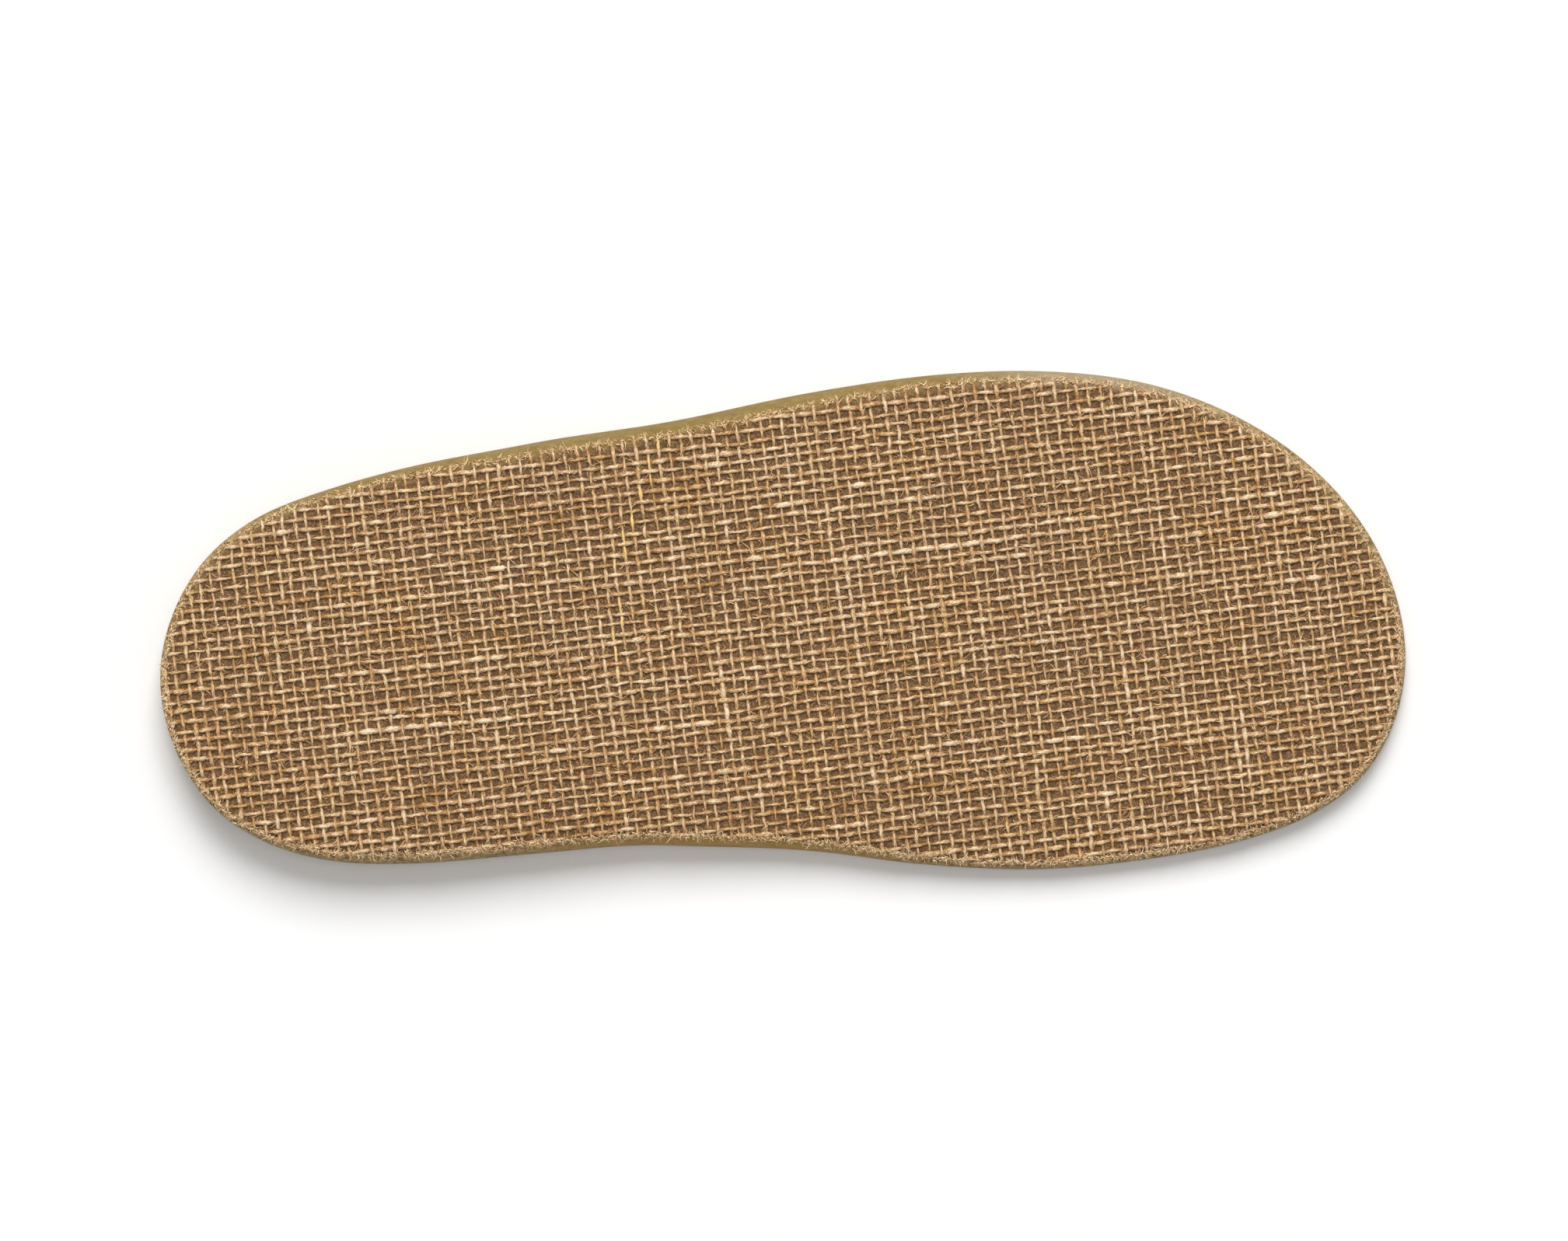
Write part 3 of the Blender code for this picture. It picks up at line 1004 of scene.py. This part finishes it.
def moulded_cork():
    """Cork grains in latex: olive skin on the moulded rim, open grain where it was ground.

    On the inner side the skin is painted lighter and warmer, as painted light where that side lies in
    shade.
    A dark film with stuck fibres lies under the cloth; its darkness is partly painted shade in the
    gaps between the yarns.
    """
    material, nodes, shader = new_material("moulded_cork")
    place = nodes.add("ShaderNodeTexCoord").outputs["Object"]
    ground = carried_value(nodes, "ground")
    grains = nodes.add("ShaderNodeTexVoronoi", {"Vector": place, "Scale": 1500.0})
    grain = nodes.add("ShaderNodeSeparateColor", {"Color": grains.outputs["Color"]}).outputs[0]
    mottle = noise(nodes, place, scale=260.0, detail=5.0, roughness=0.65)
    fine = noise(nodes, place, scale=900.0, detail=5.0, roughness=0.7)
    skin = ramp(nodes, mottle, (0.3, (0.200, 0.130, 0.034)), (0.7, (0.280, 0.188, 0.058)))
    # painted light: a lighter, warmer skin for the inner side, which lies in shade
    inner_painted_skin = ramp(nodes, mottle, (0.3, (0.310, 0.184, 0.046)), (0.7, (0.405, 0.252, 0.072)))
    pale_skin = ramp(nodes, mottle, (0.3, (0.29, 0.215, 0.125)), (0.7, (0.38, 0.30, 0.19)))
    open_grain = ramp(
        nodes,
        grain,
        (0.0, (0.12, 0.074, 0.026)),
        (0.45, (0.31, 0.208, 0.086)),
        (1.0, (0.47, 0.345, 0.175)),
    )
    # a dark film whose colour is partly painted shade: darker than a bonding layer alone, so the gaps
    # between yarns stay shaded
    film_with_painted_shade = ramp(
        nodes,
        fine,
        (0.3, (0.095, 0.049, 0.020)),
        (0.5, (0.130, 0.070, 0.031)),
        (0.7, (0.185, 0.104, 0.048)),
    )
    for turn in (15, 75, 135):
        film_with_painted_shade = mixed(nodes, stuck_fibres(nodes, place, turn), film_with_painted_shade, (0.36, 0.215, 0.105, 1.0))
    rim = mixed(nodes, carried_value(nodes, "pale"), skin, pale_skin)
    rim = mixed(nodes, carried_value(nodes, "inner_painted_light"), rim, inner_painted_skin)
    opened = nodes.math("MULTIPLY_ADD", ground, 0.75, -0.15)
    opened = nodes.math("MULTIPLY_ADD", mottle, 0.6, opened)
    rim = mixed(nodes, opened, rim, open_grain)
    colour = mixed(nodes, carried_value(nodes, "bed"), rim, film_with_painted_shade)
    nodes.join(colour, shader.inputs["Base Color"])
    height = nodes.math("MULTIPLY_ADD", nodes.math("MULTIPLY", ground, grain), 0.8, mottle)
    bump = nodes.add("ShaderNodeBump", {"Height": height, "Strength": 0.5, "Distance": 0.25 * MM})
    nodes.join(bump.outputs[0], shader.inputs["Normal"])
    shader.inputs["Roughness"].default_value = 0.7
    shader.inputs["Specular IOR Level"].default_value = 0.12
    return material


def white_floor():
    material, _, shader = new_material("white_floor")
    shader.inputs["Base Color"].default_value = (0.9, 0.9, 0.9, 1.0)
    shader.inputs["Roughness"].default_value = 0.9
    return material


# Pieces


def between(stations, x):
    """Fades in over the first two stations and out again over the last two."""
    start, full, waning, end = stations
    return smooth_step(start, full, x) * (1 - smooth_step(waning, end, x))


def footbed_shell(edge):
    """The moulded body. Its points carry the finish of the rim, the painted light on its inner side
    and the film under the cloth.
    """
    piece = merged_copy("footbed_shell", "footbed_body")
    smooth_through_points(piece, SHELL_LEVELS, SHELL_REACH)
    data = piece.data
    places = vertex_places(data)
    normals = np.zeros(len(data.vertices) * 3)
    data.vertices.foreach_get("normal", normals)
    upward = normals.reshape(-1, 3)[:, 2] > STEEP
    x, y = places[:, :2].T / MM
    inside = edge_distance(edge, places[:, :2] / MM)
    places[:, 2] += BOND_FILM * MM * smooth_step(0.0, FILM_RISE, inside) * upward
    places[:, 2] = np.clip(places[:, 2], 0.0, None)
    set_vertex_places(data, places)
    moulded = np.where(y > 0, between(OUTER_SKIN, x), between(INNER_SKIN, x))
    store_values(data, "bed", smooth_step(*FILM_EDGE, inside - bare_edge(y)) * upward)
    store_values(data, "ground", 1 - moulded)
    store_values(data, "pale", smooth_step(*PALE_SKIN, x) * (y > 0))
    # where the painted light of the inner side applies
    store_values(data, "inner_painted_light", 1 - smooth_step(*INNER_PAINTED_LIGHT, y))
    data.materials.clear()
    data.materials.append(moulded_cork())
    data.shade_smooth()
    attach(piece, "root")
    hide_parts("footbed_body")
    return piece


def strip_cut(cloth, low, high):
    """The flat size and area of the cloth between two cross yarns, in metres."""
    step = 0.5
    x, y = np.meshgrid(
        np.arange(-HALF_LENGTH, HALF_LENGTH, step), np.arange(-HALF_WIDTH, HALF_WIDTH, step)
    )
    points = np.column_stack([x.ravel(), y.ravel()])
    points = points[edge_distance(cloth.edge, points) > 0]
    points = points[cloth.weave.in_strip(points, low, high)]
    width, length = np.ptp(points, axis=0)
    return (width * MM, length * MM), len(points) * (step * MM) ** 2


def jute_cover(cloth, fibres):
    """The woven cover, strip by strip, with both sets of yarns and the loose fibres of each."""
    yarn = jute_yarn()
    shape = {"flatness": FLATNESS, "crimp": CRIMP, "rough": ROUGH}
    straight = {"flatness": 1.0, "crimp": 0.0, "rough": 0.0}
    long_tree = sweep_tree("long_yarns", yarn, YARN_SIDES, LONG_HALF_WIDTH, **shape)
    cross_tree = sweep_tree("cross_yarns", yarn, YARN_SIDES, CROSS_HALF_WIDTH, **shape)
    fibre_tree = sweep_tree(
        "loose_fibres", jute_fibre(), FIBRE_SIDES, FIBRE_HALF_WIDTH, **straight
    )
    for name, (low, high) in STRIPS.items():
        long_part = swept("long_yarns", cloth.in_strip(cloth.long_yarns, low, high), long_tree)
        cross_part = swept("cross_yarns", cloth.in_strip(cloth.cross_yarns, low, high), cross_tree)
        piece = joined(f"jute_cover_{name}", [long_part, cross_part])
        fuzz = swept(f"jute_fibres_{name}", fibres.in_strip(low, high), fibre_tree)
        for part, sides in ((piece, YARN_SIDES), (fuzz, FIBRE_SIDES)):
            add_flat_map(part.data, sides)
            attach(part, "root")
        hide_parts("jute_cover")
        flat, area = strip_cut(cloth, low, high)


def new_lamp(name, power, size):
    light = bpy.data.lights.new(name, "AREA")
    light.energy = power
    light.size = size
    return new_piece(name, light)


def studio():
    """White floor, soft lamps and fill, and the camera straight above."""
    bpy.ops.mesh.primitive_plane_add(size=FLOOR_SIZE)
    floor = bpy.context.object
    floor.name = "studio_floor"
    floor.data.materials.append(white_floor())

    across = KEY_DISTANCE * math.cos(KEY_ELEVATION)
    key = new_lamp("key", KEY_POWER, KEY_SIZE)
    key.location = (0.0, across, KEY_DISTANCE * math.sin(KEY_ELEVATION))
    key.rotation_euler = (KEY_ELEVATION - math.pi / 2, 0.0, 0.0)
    overhead = new_lamp("overhead", OVERHEAD_POWER, OVERHEAD_SIZE)
    overhead.location = (0.0, 0.0, OVERHEAD_HEIGHT)

    world = bpy.data.worlds.new("studio")
    world.use_nodes = True
    fill = world.node_tree.nodes["Background"].inputs
    fill["Color"].default_value = (1.0, 1.0, 1.0, 1.0)
    fill["Strength"].default_value = FILL_STRENGTH
    bpy.context.scene.world = world
    bpy.context.scene.view_settings.view_transform = "Standard"

    camera = bpy.data.cameras.new("camera")
    camera.sensor_width = SENSOR_WIDTH
    frame_width = PHOTO_WIDTH / PIXELS_PER_MM * MM
    camera.lens = SENSOR_WIDTH * (CAMERA_HEIGHT - RIM_HEIGHT) / frame_width
    view = new_piece("camera", camera)
    view.location = (*CAMERA_AIM, CAMERA_HEIGHT)
    bpy.context.scene.camera = view


studio()
cut_edge = cloth_edge()
shell = footbed_shell(cut_edge)
woven = Cloth(cut_edge, Ground(shell))
jute_cover(woven, Fibres(woven))
